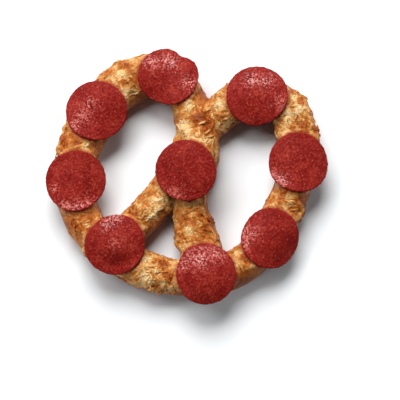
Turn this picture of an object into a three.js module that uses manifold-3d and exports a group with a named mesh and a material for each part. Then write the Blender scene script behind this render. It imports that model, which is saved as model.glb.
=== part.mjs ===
// A soft pretzel baked with shredded cheese and nine slices of pepperoni, lying on its flat underside.
// Millimetres, +Z up. The origin is the centre of the base of its bounding box.
import * as THREE from "three";
import Module from "manifold-3d";

const wasm = await Module();
wasm.setup();
const { clamp, degToRad, euclideanModulo, lerp, seededRandom } = THREE.MathUtils;

// ---- Driving dimensions: the rope of dough ----

// The rope's route in plan, from one end to the other: x, y and the rope's width there.
const ROUTE = [
  [-44, -43, 20], // first end, pressed onto the ring
  [-20.5, -21, 21.5],
  [-4, 1, 21],
  [8, 24.3, 23.5], // passes under the other arm
  [25, 40.5, 23],
  [43, 50.5, 24],
  [61.5, 41, 23],
  [68.5, 19, 25.5], // far side of the right loop
  [65.5, -6, 23],
  [54.5, -28.5, 22],
  [38, -52, 23.5],
  [12, -61.5, 22.5],
  [-18, -58.8, 22],
  [-47.5, -43.2, 23],
  [-63, -21.7, 23],
  [-66.5, 3, 24], // far side of the left loop
  [-58.5, 27, 25.5],
  [-43, 50.5, 28],
  [-19, 61.5, 26],
  [-1.2, 51.5, 23.5],
  [6.5, 31.5, 23],
  [9, 10.5, 23.5], // passes over the other arm
  [3, -17, 19.5],
  [7, -34, 24.6],
  [12.5, -55, 25.5],
  [13.5, -68, 24], // second end, pressed onto the ring
];
const UNDER = 3; // the waypoint at which the rope passes under itself
const OVER = 21; // and the one at which it passes over

const ROPE_HEIGHT = 17;
const WIDEST_AT = 0.4; // share of the height at which the rope is widest
const LOWEST_ANGLE = -0.93; // where the flat underside cuts the section, in radians from its widest point
const OVER_RISE = 8.5; // how much higher the upper arm runs where it crosses
const UNDER_DIP = 2; // how much the lower arm is squeezed there
const CROSSING_REACH = 20;
const END_RISE = 5; // how far the pressed ends stand above the ring
const END_REACH = 15;
const TIP_LENGTH = 8; // over which the ends are rounded
const TIP_HEIGHT = 9; // of each end's own point, inside the ring
const LUMPS = [
  { size: 0.5, along: 8.3, around: 2 },
  { size: 0.3, along: 4.7, around: -3 },
];
const RING_STEP = 7.2;
const RING_POINTS = 15;
const TIP_RINGS = 3;
const CUTS = [150, 480]; // where the rope is cut, so that no piece of it crosses itself

// ---- Driving dimensions: the shredded cheese fused to the rope ----

const SHREDS = 130;
const SHRED_SEED = 7;
const SHRED_LENGTH = [9, 17];
const SHRED_WIDTH = 2.3;
const SHRED_PROUD = 1.1;
const SHRED_SUNK = 0.7;
const SHRED_JOINTS = 2;
const SHRED_TURNS = [0.2, 0.8]; // round the rope, as skin counts them: its top and upper sides
const SHRED_FROM_ENDS = 20;
const SHRED_CLEAR = 1.5; // from the edge of a slice of pepperoni, in plan
const TURN_PER_MM = 1 / 50; // round the rope

// ---- Driving dimensions: the pepperoni ----

const SLICE_RADIUS = 18.3;
const SLICE_THICKNESS = 1.9;
const SLICE_GAP = 0.3; // between a slice and the dough
const SLICE_UNEVEN = 0.012; // share of the radius by which an outline wanders
const SLICE_RINGS = 3;
const SLICE_SECTORS = 24;
const DRAPE_STEP = 0.5;
const CREST_STEP = 1.5;
const CREST_TURNS = [0.35, 0.4, 0.45, 0.5, 0.55, 0.6, 0.65];
// Each slice's centre, the tightest radius to which it bends over the rope, and its dents: the direction and
// half the width of each in degrees, and its depth as a share of the radius.
const SLICES = [
  { name: "pepperoni_top", x: -9.9, y: 58.4, bend: 20, dents: [[58, 16, 0.2], [248, 30, 0.14]] },
  { name: "pepperoni_upper_right", x: 43.5, y: 47, bend: 24, dents: [] },
  { name: "pepperoni_right", x: 67.7, y: 6.2, bend: 20, dents: [[180, 40, 0.08]] },
  { name: "pepperoni_lower_right", x: 50.5, y: -38.8, bend: 13, dents: [[155, 40, 0.13]] },
  { name: "pepperoni_bottom", x: 12.6, y: -60.4, bend: 22, dents: [] },
  { name: "pepperoni_lower_left", x: -41, y: -43.2, bend: 24, dents: [[105, 35, 0.07]] },
  { name: "pepperoni_left", x: -65, y: -5, bend: 22, dents: [[200, 40, 0.03]] },
  { name: "pepperoni_upper_left", x: -52.9, y: 37.7, bend: 28, dents: [] },
  { name: "pepperoni_centre", x: 0.6, y: 0.2, bend: 36, dents: [[215, 30, 0.05]] },
];

const UP = new THREE.Vector3(0, 0, 1);
const EAST = new THREE.Vector3(1, 0, 0);
const bell = (x) => Math.exp(-x * x);
const listOf = (length, make) => Array.from({ length }, (_, k) => make(k));

// ---- The rope's skin ----

const plan = new THREE.CatmullRomCurve3(
  ROUTE.map(([x, y]) => new THREE.Vector3(x, y, 0)),
  false,
  "centripetal",
);
plan.arcLengthDivisions = 2000;
const ROPE_LENGTH = plan.getLength();
const LEGS = ROUTE.length - 1;

function distanceTo(waypoint) {
  return plan.getLengths()[Math.round((waypoint / LEGS) * plan.arcLengthDivisions)];
}
const UNDER_DISTANCE = distanceTo(UNDER);
const OVER_DISTANCE = distanceTo(OVER);

function widthAt(share) {
  const place = plan.getUtoTmapping(share) * LEGS;
  const leg = Math.min(Math.floor(place), LEGS - 1);
  return lerp(ROUTE[leg][2], ROUTE[leg + 1][2], place - leg);
}

function crestAt(s) {
  const over = bell((s - OVER_DISTANCE) / CROSSING_REACH);
  const under = bell((s - UNDER_DISTANCE) / CROSSING_REACH);
  const end = bell(Math.min(s, ROPE_LENGTH - s) / END_REACH);
  return ROPE_HEIGHT + OVER_RISE * over - UNDER_DIP * under + END_RISE * end;
}

// How far the skin stands out or in, as on hand-rolled dough.
function lumpAt(s, angle) {
  return LUMPS.reduce((sum, { size, along, around }) => sum + size * Math.sin(s / along + around * angle), 0);
}

// The point of the skin at distance s along the rope. turn is 0 at one edge of the underside, 0.5 on the
// crest and 1 at the other edge.
function skin(s, turn) {
  const share = clamp(s / ROPE_LENGTH, 0, 1);
  const side = UP.clone().cross(plan.getTangentAt(share));
  const angle = lerp(LOWEST_ANGLE, Math.PI - LOWEST_ANGLE, turn);
  const widest = WIDEST_AT * crestAt(s);
  const lump = lumpAt(s, angle) * Math.sin(Math.PI * turn);
  const reach = Math.sin(angle) > 0 ? crestAt(s) - widest + lump : -widest / Math.sin(LOWEST_ANGLE);
  const toEnd = Math.min(s, ROPE_LENGTH - s);
  const tip = Math.sqrt(1 - Math.max(0, 1 - toEnd / TIP_LENGTH) ** 2);
  const across = (widthAt(share) / 2 + lump) * Math.cos(angle) * tip;
  const height = lerp(TIP_HEIGHT, widest + reach * Math.sin(angle), tip);
  return plan.getPointAt(share).addScaledVector(side, across).setZ(Math.max(0, height));
}

function outward(s, turn) {
  const along = skin(s + 1, turn).sub(skin(s - 1, turn));
  const around = skin(s, turn + TURN_PER_MM).sub(skin(s, turn - TURN_PER_MM));
  return around.cross(along).normalize();
}

// ---- Solids ----

// Skins a row of rings, which have as many points each and turn the same way about the way forward, and
// closes its ends with fans about the two centres.
function loft(rings, startCentre, endCentre) {
  const count = rings[0].length;
  const last = rings.length - 1;
  const at = (ring, k) => ring * count + (k % count);
  const start = rings.length * count;
  const end = start + 1;
  const triangles = [];
  for (let k = 0; k < count; k++) {
    for (let ring = 0; ring < last; ring++) {
      triangles.push(at(ring, k), at(ring, k + 1), at(ring + 1, k));
      triangles.push(at(ring + 1, k), at(ring, k + 1), at(ring + 1, k + 1));
    }
    triangles.push(start, at(0, k + 1), at(0, k));
    triangles.push(end, at(last, k), at(last, k + 1));
  }
  const points = [...rings.flat(), startCentre, endCentre];
  const vertProperties = new Float32Array(points.flatMap((p) => p.toArray()));
  const triVerts = new Uint32Array(triangles);
  return new wasm.Manifold(new wasm.Mesh({ numProp: 3, vertProperties, triVerts }));
}

// Only the largest body: this fills the hollows that joining has sealed, and drops loose scraps.
function largestBody(solid) {
  return solid.decompose().reduce((largest, body) => (body.volume() > largest.volume() ? body : largest));
}

function middleOf(points) {
  return points.reduce((sum, p) => sum.add(p), new THREE.Vector3()).divideScalar(points.length);
}

// ---- The rope ----

// Where the rings stand: evenly, and closer together on the round tips.
function ringPlaces() {
  const tips = listOf(TIP_RINGS, (k) => {
    return TIP_LENGTH * (1 - Math.cos(((k + 1) / (TIP_RINGS + 1)) * (Math.PI / 2)));
  });
  const straight = ROPE_LENGTH - 2 * TIP_LENGTH;
  const steps = Math.round(straight / RING_STEP);
  const even = listOf(steps + 1, (k) => TIP_LENGTH + (k / steps) * straight);
  return [...tips, ...even, ...tips.map((s) => ROPE_LENGTH - s).reverse()];
}

function rope() {
  const places = ringPlaces();
  const rings = places.map((s) => listOf(RING_POINTS, (k) => skin(s, k / (RING_POINTS - 1))));
  const last = rings.length - 1;
  const bounds = [0, ...CUTS.map((cut) => places.findIndex((s) => s >= cut)), last];
  const pieces = bounds.slice(1).map((to, i) => {
    const own = rings.slice(bounds[i], to + 1);
    const startCentre = i === 0 ? skin(0, 0) : middleOf(own[0]);
    const endCentre = to === last ? skin(ROPE_LENGTH, 0) : middleOf(own.at(-1));
    return loft(own, startCentre, endCentre);
  });
  return pieces.reduce((joined, piece) => joined.add(piece));
}

// ---- The cheese ----

// The rings of one shred: a strip with a ridge, laid on the skin about (s, turn) and partly sunk into it.
function shredRings(s, turn, heading, length) {
  const placeAt = (travelled) => [
    s + travelled * Math.cos(heading),
    turn + travelled * Math.sin(heading) * TURN_PER_MM,
  ];
  return listOf(SHRED_JOINTS + 1, (k) => {
    const travelled = (k / SHRED_JOINTS - 0.5) * length;
    const foot = skin(...placeAt(travelled));
    const normal = outward(...placeAt(travelled));
    const across = skin(...placeAt(travelled + 1)).sub(foot).cross(normal).setLength(SHRED_WIDTH / 2);
    const sunk = foot.clone().addScaledVector(normal, -SHRED_SUNK);
    const ridge = foot.clone().addScaledVector(normal, SHRED_PROUD);
    return [sunk.clone().sub(across), ridge, sunk.clone().add(across)];
  });
}

function isClearOfSlices(point) {
  return SLICES.every(({ x, y }) => Math.hypot(point.x - x, point.y - y) > SLICE_RADIUS + SHRED_CLEAR);
}

function withShreds(core) {
  const shreds = [];
  seededRandom(SHRED_SEED);
  while (shreds.length < SHREDS) {
    const s = lerp(SHRED_FROM_ENDS, ROPE_LENGTH - SHRED_FROM_ENDS, seededRandom());
    const turn = lerp(...SHRED_TURNS, seededRandom());
    const heading = seededRandom() * Math.PI;
    const rings = shredRings(s, turn, heading, lerp(...SHRED_LENGTH, seededRandom()));
    if (rings.flat().every(isClearOfSlices)) {
      shreds.push(loft(rings, middleOf(rings[0]), middleOf(rings.at(-1))));
    }
  }
  return largestBody(shreds.reduce((joined, shred) => joined.add(shred), core));
}

// ---- The pepperoni ----

const crest = listOf(Math.floor(ROPE_LENGTH / CREST_STEP), (k) => {
  return CREST_TURNS.map((turn) => skin(k * CREST_STEP, turn));
}).flat();

// The height of a sheet laid over the rope, which bends down on either side to the radius given.
function drapeAt(x, y, bend) {
  let height = 0;
  for (const p of crest) {
    height = Math.max(height, p.z - ((p.x - x) ** 2 + (p.y - y) ** 2) / (2 * bend));
  }
  return height;
}

function drapeNormal(x, y, bend) {
  const riseX = drapeAt(x + DRAPE_STEP, y, bend) - drapeAt(x - DRAPE_STEP, y, bend);
  const riseY = drapeAt(x, y + DRAPE_STEP, bend) - drapeAt(x, y - DRAPE_STEP, bend);
  return new THREE.Vector3(-riseX, -riseY, 2 * DRAPE_STEP).normalize();
}

// Walks outwards over the drape and returns the point at each of the lengths given, measured along the sheet.
function walk(centre, direction, lengths, bend) {
  const points = [];
  let place = centre;
  let walked = 0;
  while (points.length < lengths.length) {
    const next = place.clone().addScaledVector(direction, DRAPE_STEP);
    next.z = drapeAt(next.x, next.y, bend);
    const step = next.distanceTo(place);
    const wanted = lengths[points.length];
    if (walked + step >= wanted) points.push(place.clone().lerp(next, (wanted - walked) / step));
    walked += step;
    place = next;
  }
  return points;
}

// The radius of a slice's outline in the direction given, in degrees. index makes each slice's own wandering.
function outline(degrees, dents, index) {
  const angle = degToRad(degrees);
  const wander = Math.sin(2 * angle + index) + Math.sin(3 * angle + 2 * index);
  const depth = dents.reduce((sum, [direction, spread, deepest]) => {
    const apart = euclideanModulo(degrees - direction + 180, 360) - 180;
    return sum + deepest * bell(apart / spread);
  }, 0);
  return SLICE_RADIUS * (1 + SLICE_UNEVEN * wander - depth);
}

function slice({ x, y, bend, dents }, index) {
  const centre = new THREE.Vector3(x, y, drapeAt(x, y, bend));
  const spokes = listOf(SLICE_SECTORS, (k) => {
    const degrees = (k / SLICE_SECTORS) * 360;
    const direction = EAST.clone().applyAxisAngle(UP, degToRad(degrees));
    const radius = outline(degrees, dents, index);
    return walk(centre, direction, listOf(SLICE_RINGS, (j) => ((j + 1) / SLICE_RINGS) * radius), bend);
  });
  const rings = listOf(SLICE_RINGS, (j) => spokes.map((spoke) => spoke[j]));
  const raised = (p, by) => p.clone().addScaledVector(drapeNormal(p.x, p.y, bend), by);
  const underside = (p) => raised(p, SLICE_GAP);
  const top = (p) => raised(p, SLICE_GAP + SLICE_THICKNESS);
  const down = rings.map((ring) => ring.map(underside));
  const back = rings.map((ring) => ring.map(top)).reverse();
  return loft([...down, ...back], underside(centre), top(centre));
}

// ---- The pretzel ----

function meshOf(name, solid, material) {
  const { vertProperties, triVerts } = solid.getMesh();
  const geometry = new THREE.BufferGeometry();
  geometry.setAttribute("position", new THREE.BufferAttribute(vertProperties, 3));
  geometry.setIndex(new THREE.BufferAttribute(triVerts, 1));
  geometry.computeVertexNormals();
  const mesh = new THREE.Mesh(geometry, material);
  mesh.name = name;
  return mesh;
}

const cheesyCrust = new THREE.MeshStandardMaterial({ color: 0xd8a565, roughness: 0.75, metalness: 0 });
const pretzel = new THREE.Group();
pretzel.add(meshOf("dough", withShreds(rope()), cheesyCrust));
SLICES.forEach((place, index) => {
  const meat = new THREE.MeshStandardMaterial({ color: 0xa42a24, roughness: 0.4, metalness: 0 });
  pretzel.add(meshOf(place.name, slice(place, index), meat));
});

const middle = new THREE.Box3().setFromObject(pretzel).getCenter(new THREE.Vector3());
pretzel.position.set(-middle.x, -middle.y, 0);

export default pretzel;
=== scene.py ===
import math
import random

import bmesh
import bpy
import numpy as np
from mathutils import Matrix, Vector, noise
from mathutils.bvhtree import BVHTree
from mathutils.kdtree import KDTree


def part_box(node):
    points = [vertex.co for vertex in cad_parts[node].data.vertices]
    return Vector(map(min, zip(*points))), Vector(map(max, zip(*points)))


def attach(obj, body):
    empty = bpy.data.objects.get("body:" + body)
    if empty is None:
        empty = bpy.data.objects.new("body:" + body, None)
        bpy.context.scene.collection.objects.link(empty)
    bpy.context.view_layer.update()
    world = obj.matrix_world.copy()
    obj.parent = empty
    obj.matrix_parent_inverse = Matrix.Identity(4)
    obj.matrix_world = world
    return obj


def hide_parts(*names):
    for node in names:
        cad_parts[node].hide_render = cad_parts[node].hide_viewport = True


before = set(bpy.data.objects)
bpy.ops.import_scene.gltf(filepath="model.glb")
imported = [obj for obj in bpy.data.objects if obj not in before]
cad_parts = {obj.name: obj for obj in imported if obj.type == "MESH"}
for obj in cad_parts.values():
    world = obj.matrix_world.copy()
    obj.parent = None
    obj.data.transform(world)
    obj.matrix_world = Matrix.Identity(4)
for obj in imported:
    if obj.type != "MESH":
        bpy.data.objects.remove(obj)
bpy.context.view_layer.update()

MM = 0.001
DOWN = Vector((0, 0, -1))
SKY = 60 * MM  # above everything

# The camera looks down on the pretzel from just in front of it.
CAMERA_ELEVATION = math.radians(82)
CAMERA_DISTANCE = 0.9
CAMERA_LENS = 135
CAMERA_TARGET = Vector((7.82, -14.12, 9)) * MM

# Skins
WELD = 0.01 * MM  # points closer than this become one
SMOOTHING_FACTOR = 0.5

# Dough, and the crust: the dough with the cheese that has melted into it
CRUST_VOXEL = 0.62 * MM
DOUGH_SMOOTHING = 14
CRUST_SMOOTHING = 2
CRUST_DETAIL = 0.72  # share of its faces that the crust keeps
SWELLS = [(11 * MM, 0.45 * MM), (5 * MM, 0.15 * MM)]  # size and height of the crust's unevenness
SWELLS_FROM = 1.5 * MM  # height over which they set in, above the flat underside
CHEESE_LINE = 7.5 * MM  # height down to which cheese covers the sides
CHEESE_LINE_WANDERS = 3.5 * MM
CHEESE_LINE_BUMPS = 8 * MM
CHEESE_LINE_BLUR = 1.2 * MM  # height over which the cheese ends, above and below the line
CUFF = 2.2 * MM  # the most that the cheese rises to meet a slice
CUFF_REACH = 3.5 * MM
CUFF_BESIDE = (0.2, 1)  # shares of that reach: how far it stays at its highest, and where it has ended
CUFF_GAP = (2.5 * MM, 5 * MM)  # between a slice and the dough: where the cheese stops filling it
CUFF_FACING = (-0.1, 0.4)  # how far the crust faces upwards where the cheese starts to rise
RELIEF = 0.8 * MM  # height above the dough at which cheese is painted palest: partly its own paler thick cheese, partly painted light on what stands out

# Shreds of cheese
MELTED_SHREDS = 1600
WHOLE_SHREDS = 1050
CLUMP_SHREDS = 9
SHRED_STEP = 0.9 * MM
FEWEST_STEPS = 3
MELTED_LENGTH = (4 * MM, 10 * MM)
WHOLE_LENGTH = (3.2 * MM, 7.5 * MM)
MELTED_CURL = 0.16
WHOLE_CURL = 0.1
MELTED_HALF_WIDTH = (0.55 * MM, 1.15 * MM)
WHOLE_HALF_WIDTH = (0.55 * MM, 1 * MM)
WIDTH_UNEVENNESS = 0.15
SHRED_TIP = math.sqrt(0.05)  # share of its width that a shred has at its ends
SHRED_SIDES = 8
SHRED_FLATNESS = 0.65
SHRED_TONES = 0.08  # how much they differ in browning
MELTED_LIFT = (-0.4 * MM, 0.2 * MM)
WHOLE_LIFT = (-0.25 * MM, 0.4 * MM)
CLUMP_LIFT = (0.5 * MM, 2.1 * MM)
SHRED_ARCH = 0.4  # share of its lift that a shred loses at its ends
SHREDS_STRAY = 1.3  # from the direction across the rope, in radians
MELTED_FACING = -0.1  # how far the dough faces upwards where melted shreds start
WHOLE_FACING = 0.35  # and where whole ones do
FEWEST_SLICE_GAP = 0.6 * MM
BAREST = 0.7  # that a place may be for a shred to lie there

# Outside this circle the rope runs round the ring, and inside it in two arms.
RING_FROM = 45 * MM
ARMS_ACROSS = 0.4  # the direction across the arms, in radians

# Browning of the cheese, from 0 to 1
TOAST = 0.6
TOAST_NOISE = [(9 * MM, 0.2, 3.1), (4 * MM, 0.15, 8.3)]  # size, strength and offset
TOAST_SIDES = 0.2  # how much browner the sides are
TOAST_SIDES_AT = (7 * MM, 14 * MM)  # height below which they are, and above which they aren't
WHOLE_PALER = 0.05  # how much paler whole shreds are than melted ones
WHOLE_RELIEF = (0.2, 0.8)  # relief of a whole shred's underside and top, from 0 to 1; the paler top is painted light
STICK_TOAST = 0.6

# The places below have ragged edges: the size of the raggedness, and its share of their reach.
RAGGED = (2.5 * MM, 0.35)

# Places browner than the rest, or paler, each an x, a y and a reach in millimetres, and by how much. The
# browner ones are toasted cheese; many paler ones lighten flanks that lie in shade, as painted light.
TOASTED_AND_PAINTED_LIGHT = [
    (8, 34, 5.5, 0.5), (12.5, 29.5, 5, 0.45), (-38, 68, 3.6, 0.4), (-47, 63, 2.4, 0.3), (68, 45, 3, 0.4),
    (75, 38, 2.4, 0.45), (63, 28.5, 2.4, 0.35), (71, 28.5, 3.6, 0.35), (78, 27, 3, 0.4),
    (63, 51, 1.8, 0.3), (-73, 18, 2.4, 0.35), (-69, 24, 2.4, 0.25), (-75, 23, 2.4, 0.3),
    (-68, -31, 3.6, 0.3), (-57, -25, 2.4, 0.35), (-64, -35, 2.4, 0.25), (58, -10, 3, 0.3),
    (67, -14, 3, 0.3), (72, -13, 1.8, 0.35), (35, -50, 3, 0.35), (33, -55, 2.4, 0.3),
    (37, -61, 4.8, 0.35), (31, -63, 3.6, 0.35), (-32, -22, 3.6, 0.35), (7, -23, 3, 0.25),
    (11, -32, 2.4, 0.3), (-14, -53, 3, 0.35), (-11, -60, 3, 0.35), (10, 50, 4.2, 0.35),
    (-31, 52, 4.8, 0.2), (22, 35, 2.4, 0.25), (1, 42, 3.6, -0.35), (-3, 31, 3.6, -0.3),
    (19, 43, 3, -0.35), (65, 47, 2.4, -0.35), (67, 39, 3, -0.4), (59, -19, 2.4, -0.35),
    (30, -46, 2.4, -0.35), (-24, -52, 3.6, -0.25), (-24, -63, 3.6, -0.2), (-18, -18, 4.2, -0.25),
    (0, -34, 3, -0.25), (-65, -26, 1.5, -0.3), (-40, 61, 3.6, -0.3), (11, 20, 3.6, -0.25),
    # Painted light: the paler places on these two rows mostly lighten flanks of the rope that lie in shade.
    (-33, 44, 9, -0.5), (-17, -28, 7, -0.4), (-57, -21, 5, -0.4), (-68, -37, 6, -0.4), (20, 24, 4, -0.4),
    (-55, 16, 5, -0.3), (26, 29, 5, -0.15), (-2, 28, 5, -0.3), (6, 22, 4, -0.3), (61, 36, 4, -0.35),
    (4, -32, 13, 0.12), (-65, -31, 10, 0.15), (-70, 22, 10, 0.1), (7, 32, 15, 0.05), (35, -60, 10, -0.1),
]
TOASTED_AND_PAINTED_LIGHT_BLUR = (0.4, 1.4)  # where their effect starts to fade and where it ends, as shares of the reach

# Places that the cheese leaves bare, each an x, a y and a reach in millimetres.
BARE = [
    (-32, 44, 4.5), (-27.5, 47, 3.5), (-37, 40.5, 3.5), (9.5, 47.5, 4.5), (-14.5, -24.5, 3),
    (-19, -30.5, 4), (-73, -29, 4.5), (-68, -39, 5), (-57, -21.5, 4.5), (35, -64, 5), (43, -60.5, 5),
    (-55, 16, 4), (71, -15, 3.5), (20, 24, 3.5), (14.5, -20, 2.5), (17, -31, 2.5),
]
BARE_BLUR = (0.8, 1.3)  # where they start to end and where they have ended, likewise

# Places at the rope's edges where cheese is heaped, each an x and a y in millimetres.
CLUMPS = [
    (-72, 32), (-75, 25), (-76, 17), (-41, 70), (-48, 61), (-19, -69), (69, 50), (77, 26),
    (71, -20), (67, -23), (-5, -39), (-63, -44), (24, 52), (-7, 19), (-7, 17),
]
CLUMP_REACH = 2 * MM

# Single shreds that lie on top of the rest, each an x, a y, a direction in degrees and a length in
# millimetres.
STICKS = [(9.4, 30.3, 35, 6.4), (12.8, 25.5, 40, 5.8), (14.6, 22.6, 20, 4.6), (16.8, -38, 75, 5)]
STICK_HALF_WIDTH = 0.85 * MM
STICK_LIFT = 1.15 * MM

# Pepperoni
SLICE_VOXEL = 0.5 * MM
SLICE_SMOOTHING = 5
SLICE_BUMPS = [(8 * MM, 0.1 * MM), (1.5 * MM, 0.07 * MM)]  # size and height
SLICE_SECTORS = 48  # in which its radius is measured
RIM_FROM = 0.75  # share of the radius at which the rim starts
STAIN_AND_PAINTED_SHADE_REACH = (0.2 * MM, 3.2 * MM)  # how far from a slice its grease colours and darkens the cheese fully, and at all; the darkening is partly painted shade

# Where grease lies on each slice, which is also where its wrinkles are painted pale as glints: painted
# highlights.
# Each spot is the direction from its centre in degrees, and the distance and the reach as shares of its
# radius.
GREASE_AND_PAINTED_GLINTS = {
    "top": [(141, 0.66, 0.3), (-21, 0.8, 0.3), (85, 0.5, 0.35)],
    "upper_right": [(55, 0.55, 0.3), (105, 0.5, 0.3), (-18, 0.85, 0.3)],
    "right": [(228, 0.88, 0.3), (204, 0.93, 0.2)],
    "lower_right": [(167, 0.8, 0.4), (195, 0.85, 0.25)],
    "bottom": [(118, 0.57, 0.45), (60, 0.75, 0.35), (160, 0.85, 0.25)],
    "lower_left": [(92, 0.9, 0.3), (115, 0.72, 0.25), (90, 0.05, 0.25)],
    "left": [(250, 0.86, 0.25), (278, 0.88, 0.3), (305, 0.86, 0.25), (197, 0.75, 0.15)],
    "upper_left": [(200, 0.45, 0.3), (130, 0.25, 0.25), (215, 0.85, 0.2)],
    "centre": [(252, 0.86, 0.3), (230, 0.86, 0.2)],
}
# Edges that curl up: the direction and half the width of each, in degrees.
CURLED = {"left": (277, 40), "centre": (248, 30), "right": (235, 35)}
CURL = 0.8 * MM
CURL_FROM = 0.72  # share of the radius at which it starts

# Floor and light
FLOOR_HALF = 3.0
FLOOR_COLOUR = (0.785, 0.8, 0.81, 1)
SKY_COLOUR = (0.7, 0.86, 1, 1)
SKY_STRENGTH = 0.05
# Each light's name, its direction in degrees round from +X and up from the floor, its distance and size in
# metres, and its power.
LIGHTS = [
    ("key", 98, 44, 2, 1.5, 67),
    ("side_key", 150, 48, 2, 1, 15),
    ("left_fill", 210, 22, 1.8, 0.5, 9),
    ("right_fill", 20, 22, 2, 0.8, 11),
]


def smoothstep(low, high, x):
    t = np.clip((x - low) / (high - low), 0, 1)
    return t * t * (3 - 2 * t)


def noise_at(points, size, offset):
    """Smooth noise from -1 to 1 at each point, with bumps of that size. Another offset gives other noise."""
    shift = Vector((offset, offset, offset))
    return np.array([noise.noise(Vector(p) / size + shift) for p in points])


def beside(points, x, y):
    """How far each point is, as seen from above, from the place with that x and y in millimetres."""
    return np.hypot(points[:, 0] - x * MM, points[:, 1] - y * MM)


# ---- Meshes ----


def new_object(name, data):
    obj = bpy.data.objects.new(name, data)
    bpy.context.scene.collection.objects.link(obj)
    return obj


def copy_of(cad_name, name):
    return new_object(name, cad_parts[cad_name].data.copy())


def read_vectors(mesh, field):
    values = np.empty(len(mesh.vertices) * 3, np.float32)
    mesh.vertices.foreach_get(field, values)
    return values.reshape(-1, 3).astype(float)


def coordinates(mesh):
    return read_vectors(mesh, "co")


def normals(mesh):
    return read_vectors(mesh, "normal")


def set_coordinates(mesh, points):
    mesh.vertices.foreach_set("co", np.asarray(points, np.float32).ravel())
    mesh.update()


def set_attributes(mesh, **attributes):
    """Stores values for the materials to read: one for each point, or one for all."""
    for name, values in attributes.items():
        values = np.full(len(mesh.vertices), values, np.float32)
        mesh.attributes.new(name, "FLOAT", "POINT").data.foreach_set("value", values)


def shade_smooth(mesh):
    mesh.polygons.foreach_set("use_smooth", [True] * len(mesh.polygons))


def joined(objects, name):
    with bpy.context.temp_override(active_object=objects[0], selected_editable_objects=objects):
        bpy.ops.object.join()
    objects[0].name = name
    return objects[0]


def apply_modifiers(obj, name):
    """Makes what the object's modifiers give its mesh, under that name."""
    mesh = bpy.data.meshes.new_from_object(obj.evaluated_get(bpy.context.evaluated_depsgraph_get()))
    mesh.name = name
    mesh.materials.clear()
    shade_smooth(mesh)
    obj.modifiers.clear()
    obj.data = mesh


def remesh(obj, name, voxel, smoothing, kept=1.0):
    """Gives the object a fine skin, with that share of its faces kept."""
    weld = obj.modifiers.new("weld", "WELD")
    weld.merge_threshold = WELD
    skin = obj.modifiers.new("skin", "REMESH")
    skin.mode = "VOXEL"
    skin.voxel_size = voxel
    smooth = obj.modifiers.new("smooth", "SMOOTH")
    smooth.factor = SMOOTHING_FACTOR
    smooth.iterations = smoothing
    thin = obj.modifiers.new("thin", "DECIMATE")
    thin.ratio = kept
    apply_modifiers(obj, name)


def drop_crumbs(mesh):
    """Keeps only the largest of the parts that the mesh falls into."""
    whole = bmesh.new()
    whole.from_mesh(mesh)
    seen, parts = set(), []
    for vertex in whole.verts:
        if vertex not in seen:
            seen.add(vertex)
            part = [vertex]
            for reached in part:  # the list grows as it is walked
                for edge in reached.link_edges:
                    other = edge.other_vert(reached)
                    if other not in seen:
                        seen.add(other)
                        part.append(other)
            parts.append(part)
    parts.sort(key=len)
    bmesh.ops.delete(whole, geom=[vertex for part in parts[:-1] for vertex in part], context="VERTS")
    whole.to_mesh(mesh)
    whole.free()


def mesh_tree(*meshes):
    points, polygons = [], []
    for mesh in meshes:
        first = len(points)
        points += [v.co.copy() for v in mesh.vertices]
        polygons += [[first + i for i in p.vertices] for p in mesh.polygons]
    return BVHTree.FromPolygons(points, polygons)


# ---- Materials ----

BUMP = 0.3 * MM  # height of the finest relief
NOISE_SPAN = (0.35, 0.65)  # between which most of a noise's values lie

# Sizes of the crust's textures
CRUST_GRAIN = 1.3 * MM
CRUMBS = 1.9 * MM
BROWNED_PATCHES = 4 * MM
BREAD_PATCHES = 5 * MM
PITS = 1 * MM
FOLDS = 2 * MM

# Sizes of the pepperoni's textures
MARBLING = 9 * MM
FLECKS = 3 * MM
SPECKS = 1.15 * MM
FAT = 3.2 * MM  # from one dot of fat to the next
WRINKLES = 1.7 * MM
WRINKLE_GAPS = 1.3 * MM
PORES = 1 * MM
CELLS = 1.3 * MM


def node(tree, kind, settings=None, **inputs):
    """Adds a node. Each input is a socket to link, or a value to set. i0 is the first socket, i1 the next."""
    made = tree.nodes.new(kind)
    for name, value in (settings or {}).items():
        setattr(made, name, value)
    for name, value in inputs.items():
        socket = made.inputs[int(name[1:])] if name[1:].isdigit() else made.inputs[name.replace("_", " ")]
        if isinstance(value, bpy.types.NodeSocket):
            tree.links.new(value, socket)
        else:
            socket.default_value = value
    return made


def maths(tree, operation, a, b=0.0, c=0.0, clamp=False):
    settings = {"operation": operation, "use_clamp": clamp}
    return node(tree, "ShaderNodeMath", settings, i0=a, i1=b, i2=c).outputs[0]


def mix(tree, factor, a, b, blend="MIX"):
    settings = {"data_type": "RGBA", "blend_type": blend, "clamp_factor": True}
    return node(tree, "ShaderNodeMix", settings, i0=factor, i6=a, i7=b).outputs[2]


def ramp(tree, factor, stops):
    made = node(tree, "ShaderNodeValToRGB", i0=factor)
    elements = made.color_ramp.elements
    while len(elements) < len(stops):
        elements.new(0.5)
    for element, (position, colour) in zip(elements, stops):
        element.position = position
        element.color = colour
    return made.outputs[0]


def grain(tree, size, detail, roughness=0.5, distortion=0.0):
    """Noise from 0 to 1 with grains of that size, in the object's own space."""
    place = tree.nodes.new("ShaderNodeTexCoord").outputs["Object"]
    return node(
        tree, "ShaderNodeTexNoise", None,
        Vector=place, Scale=1 / size, Detail=detail, Roughness=roughness, Distortion=distortion,
    ).outputs[0]


def voronoi(tree, size, feature):
    """The distance to the middle of the nearest cell, for cells of that size."""
    place = tree.nodes.new("ShaderNodeTexCoord").outputs["Object"]
    cells = node(tree, "ShaderNodeTexVoronoi", {"feature": feature}, Vector=place, Scale=1 / size)
    return cells.outputs["Distance"]


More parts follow.
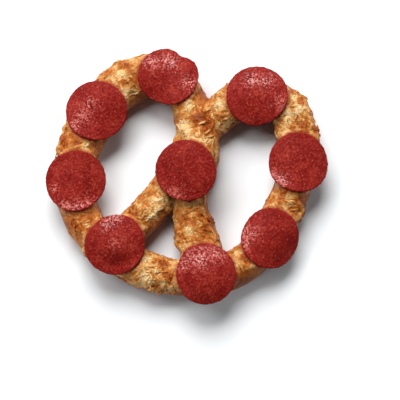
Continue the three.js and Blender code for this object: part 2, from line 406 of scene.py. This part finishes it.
def swing(tree, value, weight):
    """Turns noise from 0 to 1 into noise about 0, of that weight in all."""
    return maths(tree, "MULTIPLY", maths(tree, "SUBTRACT", value, 0.5), weight)


def spread(tree, value, low, high):
    """Turns noise from 0 to 1 into noise that uses all of the range from low to high."""
    start, end = NOISE_SPAN
    return node(
        tree, "ShaderNodeMapRange", None, Value=value, From_Min=start, From_Max=end, To_Min=low, To_Max=high,
    ).outputs[0]


def bumpy(tree, height):
    return node(tree, "ShaderNodeBump", None, Strength=1, Distance=BUMP, Height=height).outputs[0]


def attribute(tree, name):
    return node(tree, "ShaderNodeAttribute", {"attribute_name": name}).outputs["Fac"]


def rgb(red, green, blue):
    """A colour given as 0 to 255, in the linear values that nodes take."""
    return (*(((c / 255 + 0.055) / 1.055) ** 2.4 for c in (red, green, blue)), 1)


def new_material(name):
    material = bpy.data.materials.new(name)
    material.use_nodes = True
    return material, material.node_tree, material.node_tree.nodes["Principled BSDF"]


def set_sockets(tree, shader, **sockets):
    """Links or sets the shader's sockets, with a space for each underscore in a name."""
    for name, value in sockets.items():
        socket = shader.inputs[name.replace("_", " ")]
        if isinstance(value, bpy.types.NodeSocket):
            tree.links.new(value, socket)
        else:
            socket.default_value = value


def crust_material():
    material, tree, shader = new_material("cheesy_crust")
    toast = attribute(tree, "toast")
    # Browning differs from grain to grain and from patch to patch. What stands out is painted paler and the
    # gaps between crumbs browner: partly the cheese's own colour, partly painted light and shade.
    fine = grain(tree, CRUST_GRAIN, 4, 0.6)
    crumbs = voronoi(tree, CRUMBS, "SMOOTH_F1")
    browned_and_painted_light = maths(tree, "ADD", toast, swing(tree, fine, 0.12))
    browned_and_painted_light = maths(tree, "ADD", browned_and_painted_light, swing(tree, grain(tree, BROWNED_PATCHES, 1), 0.6))
    browned_and_painted_light = maths(tree, "ADD", browned_and_painted_light, maths(tree, "MULTIPLY_ADD", crumbs, 0.35, -0.12))
    painted_light_on_raised = maths(tree, "MULTIPLY", attribute(tree, "relief"), 0.33)
    cheese = ramp(tree, maths(tree, "SUBTRACT", browned_and_painted_light, painted_light_on_raised, clamp=True), [
        (0.0, rgb(208, 173, 125)),
        (0.2, rgb(192, 148, 92)),
        (0.4, rgb(172, 110, 51)),
        (0.6, rgb(156, 82, 24)),
        (0.8, rgb(138, 62, 14)),
        (1.0, rgb(116, 46, 8)),
    ])
    baked_and_painted_light = maths(tree, "MULTIPLY", maths(tree, "ADD", grain(tree, BREAD_PATCHES, 4), toast), 0.6)
    bread = ramp(tree, baked_and_painted_light, [
        (0.3, rgb(196, 132, 72)),
        (0.55, rgb(174, 102, 46)),
        (0.8, rgb(138, 70, 26)),
    ])
    colour = mix(tree, attribute(tree, "bare"), cheese, bread)
    # Partly painted shade: the cheese is darkened and reddened near the slices, as grease stain and as shade
    # beside and under them.
    colour = mix(tree, maths(tree, "MULTIPLY", attribute(tree, "stain"), 0.75), colour, rgb(146, 60, 24))
    # Painted light and shade: the colour is made up to three tenths lighter or darker from grain to grain,
    # standing in for fine shading.
    colour = mix(tree, 1, colour, spread(tree, fine, 0.7, 1.3), "MULTIPLY")
    folds = maths(tree, "MULTIPLY", grain(tree, FOLDS, 2), 1.2)
    height = maths(tree, "ADD", grain(tree, PITS, 3), folds)
    set_sockets(
        tree, shader,
        Base_Color=colour,
        Roughness=spread(tree, fine, 0.28, 0.55),
        Normal=bumpy(tree, maths(tree, "SUBTRACT", height, crumbs)),
        Specular_IOR_Level=0.2,
        Specular_Tint=(1, 0.8, 0.55, 1),
        Subsurface_Weight=0.3,
        Subsurface_Radius=(1, 0.5, 0.2),
        Subsurface_Scale=0.9 * MM,
    )
    return material


def pepperoni_material():
    material, tree, shader = new_material("pepperoni")
    rim = attribute(tree, "rim")
    grease = attribute(tree, "grease")
    texture = maths(tree, "MULTIPLY_ADD", grain(tree, MARBLING, 2), 0.6, 0.2)
    texture = maths(tree, "ADD", texture, swing(tree, grain(tree, FLECKS, 2), 0.3))
    texture = maths(tree, "ADD", texture, swing(tree, grain(tree, SPECKS, 1), 0.7))
    meat = ramp(tree, texture, [
        (0.2, rgb(88, 6, 2)),
        (0.5, rgb(119, 21, 15)),
        (0.8, rgb(150, 50, 38)),
    ])
    colour = mix(tree, maths(tree, "MULTIPLY", rim, 0.5), meat, rgb(126, 22, 18))
    fat = ramp(tree, voronoi(tree, FAT, "F1"), [(0.1, (1, 1, 1, 1)), (0.2, (0, 0, 0, 1))])
    colour = mix(tree, maths(tree, "MULTIPLY", fat, 0.3), colour, rgb(190, 96, 80))
    # Wrinkles: the lines where winding noise crosses its middle, broken up by other noise.
    winding = maths(tree, "ABSOLUTE", maths(tree, "SUBTRACT", grain(tree, WRINKLES, 1, 0.5, 1), 0.5))
    wrinkles = maths(tree, "MULTIPLY_ADD", winding, -7, 1, clamp=True)
    broken = maths(tree, "ADD", grain(tree, WRINKLE_GAPS, 1), maths(tree, "MULTIPLY", grease, 0.14))
    wrinkles = maths(tree, "MULTIPLY", wrinkles, maths(tree, "MULTIPLY_ADD", broken, 8, -4.2, clamp=True))
    # The wrinkles are painted pale: faintly all over, and strongly on the grease, where they are painted
    # highlights.
    pale_wrinkles_and_painted_glints = maths(tree, "MULTIPLY", wrinkles, maths(tree, "MULTIPLY_ADD", grease, 0.5, 0.13))
    colour = mix(tree, pale_wrinkles_and_painted_glints, colour, rgb(216, 124, 110))
    # The outermost edge and side wall are painted dark: partly the edge's own oven darkening, partly painted
    # shade.
    edge = maths(tree, "MULTIPLY_ADD", rim, 12, -11.2, clamp=True)
    colour = mix(tree, maths(tree, "MULTIPLY", edge, 0.4), colour, rgb(72, 14, 10))
    pores = grain(tree, PORES, 2)
    cells = maths(tree, "MULTIPLY", voronoi(tree, CELLS, "SMOOTH_F1"), 0.8)
    wet = maths(tree, "MULTIPLY_ADD", grease, 1, -0.1, clamp=True)
    set_sockets(
        tree, shader,
        Base_Color=colour,
        Roughness=spread(tree, pores, 0.6, 0.4),
        Normal=bumpy(tree, maths(tree, "SUBTRACT", pores, cells)),
        Specular_IOR_Level=0.05,
        Coat_Weight=maths(tree, "MULTIPLY", wrinkles, wet),
        Coat_Normal=bumpy(tree, grain(tree, PORES, 1)),
        Coat_Roughness=0.15,
    )
    return material


# ---- Pepperoni ----


def round_slice(points, cad_name):
    """Each point's direction from the slice's centre, and its distance as a share of the radius there."""
    low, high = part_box(cad_name)
    across = points[:, :2] - np.array((low + high)[:2]) / 2
    radius = np.hypot(across[:, 0], across[:, 1])
    direction = np.arctan2(across[:, 1], across[:, 0])
    sector = np.floor(direction / math.tau * SLICE_SECTORS).astype(int) % SLICE_SECTORS
    reach = np.array([radius[sector == k].max() for k in range(SLICE_SECTORS)])
    return direction, radius / reach[sector]


def grease_at(direction, share, spots):
    """From 0 to 1, how greasy a slice is at each point, which is also how strongly its painted glints show
    there.
    """
    flat = share[:, None] * np.stack([np.cos(direction), np.sin(direction)], axis=1)
    grease = np.zeros(len(flat))
    for degrees, distance, reach in spots:
        spot = distance * np.array([math.cos(math.radians(degrees)), math.sin(math.radians(degrees))])
        away = np.linalg.norm(flat - spot, axis=1) / reach
        grease = np.maximum(grease, np.exp(-away ** 2))
    return grease


def pepperoni(cad_name, index):
    which = cad_name.removeprefix("pepperoni_")
    obj = copy_of(cad_name, "slice_" + which)
    remesh(obj, obj.name, SLICE_VOXEL, SLICE_SMOOTHING)
    points = coordinates(obj.data)
    outwards = normals(obj.data)
    for size, height in SLICE_BUMPS:
        points += outwards * noise_at(points, size, index)[:, None] * height
    direction, share = round_slice(points, cad_name)
    if which in CURLED:
        middle, half_width = np.radians(CURLED[which])
        apart = (direction - middle + math.pi) % math.tau - math.pi
        points[:, 2] += CURL * smoothstep(CURL_FROM, 1, share) * np.exp(-(apart / half_width) ** 2)
    set_coordinates(obj.data, points)
    set_attributes(
        obj.data, rim=smoothstep(RIM_FROM, 1, share), grease=grease_at(direction, share, GREASE_AND_PAINTED_GLINTS[which])
    )
    obj.data.materials.append(MEAT)
    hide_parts(cad_name)
    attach(obj, "root")
    return obj


# ---- Cheese ----


def bare_at(points):
    """From 0 to 1, how bare of cheese the dough is at each point."""
    line = CHEESE_LINE + CHEESE_LINE_WANDERS * noise_at(points, CHEESE_LINE_BUMPS, 5.7)
    bare = 1 - smoothstep(-CHEESE_LINE_BLUR, CHEESE_LINE_BLUR, points[:, 2] - line)
    size, depth = RAGGED
    ragged = depth * noise_at(points, size, 4.4)
    for x, y, reach in BARE:
        away = beside(points, x, y) / (reach * MM) + ragged
        bare = np.maximum(bare, 1 - smoothstep(*BARE_BLUR, away))
    return bare


def toast_at(points):
    """How browned the cheese is at each point, before its own colour variation; the listed paler places add
    painted light on flanks in shade.
    """
    toast = TOAST + sum(strength * noise_at(points, size, offset) for size, strength, offset in TOAST_NOISE)
    toast += TOAST_SIDES * (1 - smoothstep(*TOAST_SIDES_AT, points[:, 2]))
    size, depth = RAGGED
    ragged = depth * noise_at(points, size, 1.7)
    for x, y, reach, amount in TOASTED_AND_PAINTED_LIGHT:
        away = beside(points, x, y) / (reach * MM) + ragged
        toast += amount * (1 - smoothstep(*TOASTED_AND_PAINTED_LIGHT_BLUR, away))
    return toast


def stain_at(points, slice_tree):
    """From 0 to 1, how much the slices' grease colours and darkens the cheese at each point; the darkening is
    partly painted shade.
    """
    away = np.array([slice_tree.find_nearest(Vector(p))[3] for p in points])
    return 1 - smoothstep(*STAIN_AND_PAINTED_SHADE_REACH, away)


def cuff_at(points, slice_tree):
    """How far the cheese rises at each point to meet the slices, beside them and under their edges."""
    rise = np.zeros(len(points))
    for i, p in enumerate(points):
        place, _, _, away = slice_tree.find_nearest(Vector(p))
        gap = place.z - p[2]
        if gap > 0 and away < CUFF_GAP[1]:
            aside = math.hypot(place.x - p[0], place.y - p[1])
            rise[i] = min(CUFF, gap) * (1 - smoothstep(*CUFF_BESIDE, aside / CUFF_REACH))
            rise[i] *= 1 - smoothstep(*CUFF_GAP, gap)
    return rise


def across_the_rope(place):
    if math.hypot(place.x, place.y) > RING_FROM:
        return math.atan2(place.y, place.x)
    return ARMS_ACROSS


def lay(skin, start, heading, length, curl):
    """The points and normals of a path that follows the skin, bending by curl at each step."""
    place, normal = skin.find_nearest(start)[:2]
    direction = Vector((math.cos(heading), math.sin(heading), 0))
    points = [(place, normal)]
    for _ in range(max(FEWEST_STEPS, round(length / SHRED_STEP))):
        direction = (direction - normal * direction.dot(normal)).normalized()
        direction.rotate(Matrix.Rotation(curl, 3, normal))
        place, normal = skin.find_nearest(place + direction * SHRED_STEP)[:2]
        points.append((place, normal))
    return points


def scatter(skin, spots, slice_tree, rng, number, lengths, bend):
    """The paths of shreds that start at some of the spots, and keep off the slices."""
    paths = []
    while len(paths) < number:
        start = Vector(spots[rng.randrange(len(spots))])
        if slice_tree.ray_cast(start, -DOWN)[0]:
            continue
        heading = across_the_rope(start) + rng.gauss(0, SHREDS_STRAY)
        path = lay(skin, start, heading, rng.uniform(*lengths), rng.gauss(0, bend))
        clear = all(slice_tree.find_nearest(place)[3] > FEWEST_SLICE_GAP for place, _ in path)
        if clear and bare_at(np.array([place for place, _ in path])).max() < BAREST:
            paths.append(path)
    return paths


def shreds_mesh(paths, lifts, widths, rng):
    """The shreds that lie along the paths, and how high each point is on its shred, from 0 to 1."""
    points, polygons, heights = [], [], []
    for path in paths:
        half = rng.uniform(*widths)
        lift = rng.uniform(*lifts)
        first = len(points)
        last = len(path) - 1
        for k, (place, normal) in enumerate(path):
            ahead = path[min(k + 1, last)][0] - path[max(k - 1, 0)][0]
            side = normal.cross(ahead).normalized()
            width = half * max(SHRED_TIP, math.sqrt(1 - abs(2 * k / last - 1) ** 4))
            width *= rng.uniform(1 - WIDTH_UNEVENNESS, 1 + WIDTH_UNEVENNESS)
            centre = place + normal * (lift * (1 - SHRED_ARCH + SHRED_ARCH * math.sin(math.pi * k / last)))
            for j in range(SHRED_SIDES):
                angle = math.tau * j / SHRED_SIDES
                up = math.sin(angle) * width * SHRED_FLATNESS
                points.append(centre + side * math.cos(angle) * width + normal * up)
                heights.append(0.5 + 0.5 * math.sin(angle))
        for k in range(last):
            for j in range(SHRED_SIDES):
                a = first + k * SHRED_SIDES + j
                b = first + k * SHRED_SIDES + (j + 1) % SHRED_SIDES
                polygons.append((a, b, b + SHRED_SIDES, a + SHRED_SIDES))
        polygons.append(tuple(first + j for j in reversed(range(SHRED_SIDES))))
        end = first + last * SHRED_SIDES
        polygons.append(tuple(end + j for j in range(SHRED_SIDES)))
    mesh = bpy.data.meshes.new("shreds")
    mesh.from_pydata(points, [], polygons)
    shade_smooth(mesh)
    return mesh, np.array(heights)


def tones(points, paths, rng):
    """The browning of the shred nearest to each point."""
    places = [(place, i) for i, path in enumerate(paths) for place, _ in path]
    near = KDTree(len(places))
    for place, i in places:
        near.insert(place, i)
    near.balance()
    own = [rng.gauss(0, SHRED_TONES) for _ in paths]
    return np.array([own[near.find(Vector(p))[1]] for p in points])


# ---- The pretzel ----


def all_paths(dough, core, slice_tree, rng):
    """The paths of the melted shreds, of the whole ones and of those in heaps."""
    spots = coordinates(dough)
    facing = normals(dough)[:, 2]
    cheesy = bare_at(spots) < 0.5
    tops = spots[cheesy & (facing > WHOLE_FACING)]
    spots = spots[cheesy & (facing > MELTED_FACING)]
    melted = scatter(core, spots, slice_tree, rng, MELTED_SHREDS, MELTED_LENGTH, MELTED_CURL)
    whole = scatter(core, tops, slice_tree, rng, WHOLE_SHREDS, WHOLE_LENGTH, WHOLE_CURL)
    heaps = []
    for x, y in CLUMPS:
        near = spots[beside(spots, x, y) < CLUMP_REACH]
        heaps += scatter(core, near, slice_tree, rng, CLUMP_SHREDS, WHOLE_LENGTH, WHOLE_CURL)
    return melted, whole, heaps


def crust(dough, core, melted, heaps, slice_tree, rng):
    """The dough with the cheese that has melted into it, as one skin."""
    layers = [(melted, MELTED_LIFT, MELTED_HALF_WIDTH), (heaps, CLUMP_LIFT, WHOLE_HALF_WIDTH)]
    shreds = [new_object("melted", shreds_mesh(*layer, rng)[0]) for layer in layers]
    obj = joined([dough, *shreds], "crust")
    remesh(obj, "crust", CRUST_VOXEL, CRUST_SMOOTHING, CRUST_DETAIL)
    mesh = obj.data
    drop_crumbs(mesh)
    points = coordinates(mesh)
    outwards = normals(mesh)
    cheesy = 1 - bare_at(points)
    rise = sum(noise_at(points, size, size / MM) * height for size, height in SWELLS)
    rise *= smoothstep(0, SWELLS_FROM, points[:, 2])
    points += outwards * rise[:, None]
    points[:, 2] += cuff_at(points, slice_tree) * smoothstep(*CUFF_FACING, outwards[:, 2])
    points[:, 2] = np.maximum(points[:, 2], 0)
    above = np.array([core.find_nearest(Vector(p))[3] for p in points])
    set_coordinates(mesh, points)
    set_attributes(
        mesh,
        toast=toast_at(points) + tones(points, melted + heaps, rng) * cheesy,
        relief=smoothstep(0, RELIEF, above) * cheesy,
        bare=1 - cheesy,
        stain=stain_at(points, slice_tree),
    )
    return obj


def whole_shreds(paths, slice_tree, rng):
    mesh, heights = shreds_mesh(paths, WHOLE_LIFT, WHOLE_HALF_WIDTH, rng)
    points = coordinates(mesh)
    set_attributes(
        mesh,
        toast=toast_at(points) - WHOLE_PALER + tones(points, paths, rng),
        relief=np.interp(heights, (0, 1), WHOLE_RELIEF),
        bare=0,
        stain=stain_at(points, slice_tree),
    )
    return new_object("cheese_shreds", mesh)


def sticks(core, rng):
    paths = []
    for x, y, degrees, length in STICKS:
        heading = math.radians(degrees)
        start = Vector((x - length / 2 * math.cos(heading), y - length / 2 * math.sin(heading))) * MM
        place = core.ray_cast(Vector((*start, SKY)), DOWN)[0]
        paths.append(lay(core, place, heading, length * MM, 0))
    mesh, heights = shreds_mesh(paths, (STICK_LIFT, STICK_LIFT), (STICK_HALF_WIDTH, STICK_HALF_WIDTH), rng)
    # The sticks are painted paler on top than underneath: painted light.
    set_attributes(mesh, toast=STICK_TOAST, relief=heights, bare=0, stain=0)
    return new_object("cheese_sticks", mesh)


def pretzel(slice_tree, rng):
    """The crust, the shreds that lie whole on it, and the single ones on top."""
    dough = copy_of("dough", "dough_core")
    remesh(dough, "smooth_dough", CRUST_VOXEL, DOUGH_SMOOTHING)
    core = mesh_tree(dough.data)
    melted, whole, heaps = all_paths(dough.data, core, slice_tree, rng)
    return (
        crust(dough, core, melted, heaps, slice_tree, rng),
        whole_shreds(whole, slice_tree, rng),
        sticks(core, rng),
    )


rng = random.Random(11)
CRUST = crust_material()
MEAT = pepperoni_material()

slice_names = sorted(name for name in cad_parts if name.startswith("pepperoni"))
slices = [pepperoni(name, index) for index, name in enumerate(slice_names)]

for piece in pretzel(mesh_tree(*[obj.data for obj in slices]), rng):
    piece.data.materials.append(CRUST)
    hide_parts("dough")
    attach(piece, "root")


# ---- Floor, light and camera ----

bpy.ops.mesh.primitive_plane_add(size=2 * FLOOR_HALF)
floor = bpy.context.object
floor.name = "floor"
floor_material, floor_tree, floor_shader = new_material("floor")
set_sockets(floor_tree, floor_shader, Base_Color=FLOOR_COLOUR, Roughness=0.9)
floor.data.materials.append(floor_material)


def softbox(name, azimuth, elevation, distance, size, power):
    light = bpy.data.lights.new(name, "AREA")
    light.shape = "DISK"
    light.size = size
    light.energy = power
    obj = new_object(name, light)
    turn, rise = math.radians(azimuth), math.radians(elevation)
    away = Vector((math.cos(turn) * math.cos(rise), math.sin(turn) * math.cos(rise), math.sin(rise)))
    obj.location = away * distance
    obj.rotation_euler = away.to_track_quat("Z", "Y").to_euler()


for light in LIGHTS:
    softbox(*light)

scene = bpy.context.scene
scene.view_settings.view_transform = "Standard"
scene.world = bpy.data.worlds.new("studio")
scene.world.use_nodes = True
background = scene.world.node_tree.nodes["Background"]
background.inputs["Color"].default_value = SKY_COLOUR
background.inputs["Strength"].default_value = SKY_STRENGTH

camera_data = bpy.data.cameras.new("camera")
camera_data.lens = CAMERA_LENS
camera = new_object("camera", camera_data)
tilt = math.pi / 2 - CAMERA_ELEVATION
camera.rotation_euler = (tilt, 0, 0)
camera.location = CAMERA_TARGET + Vector((0, -math.sin(tilt), math.cos(tilt))) * CAMERA_DISTANCE
scene.camera = camera
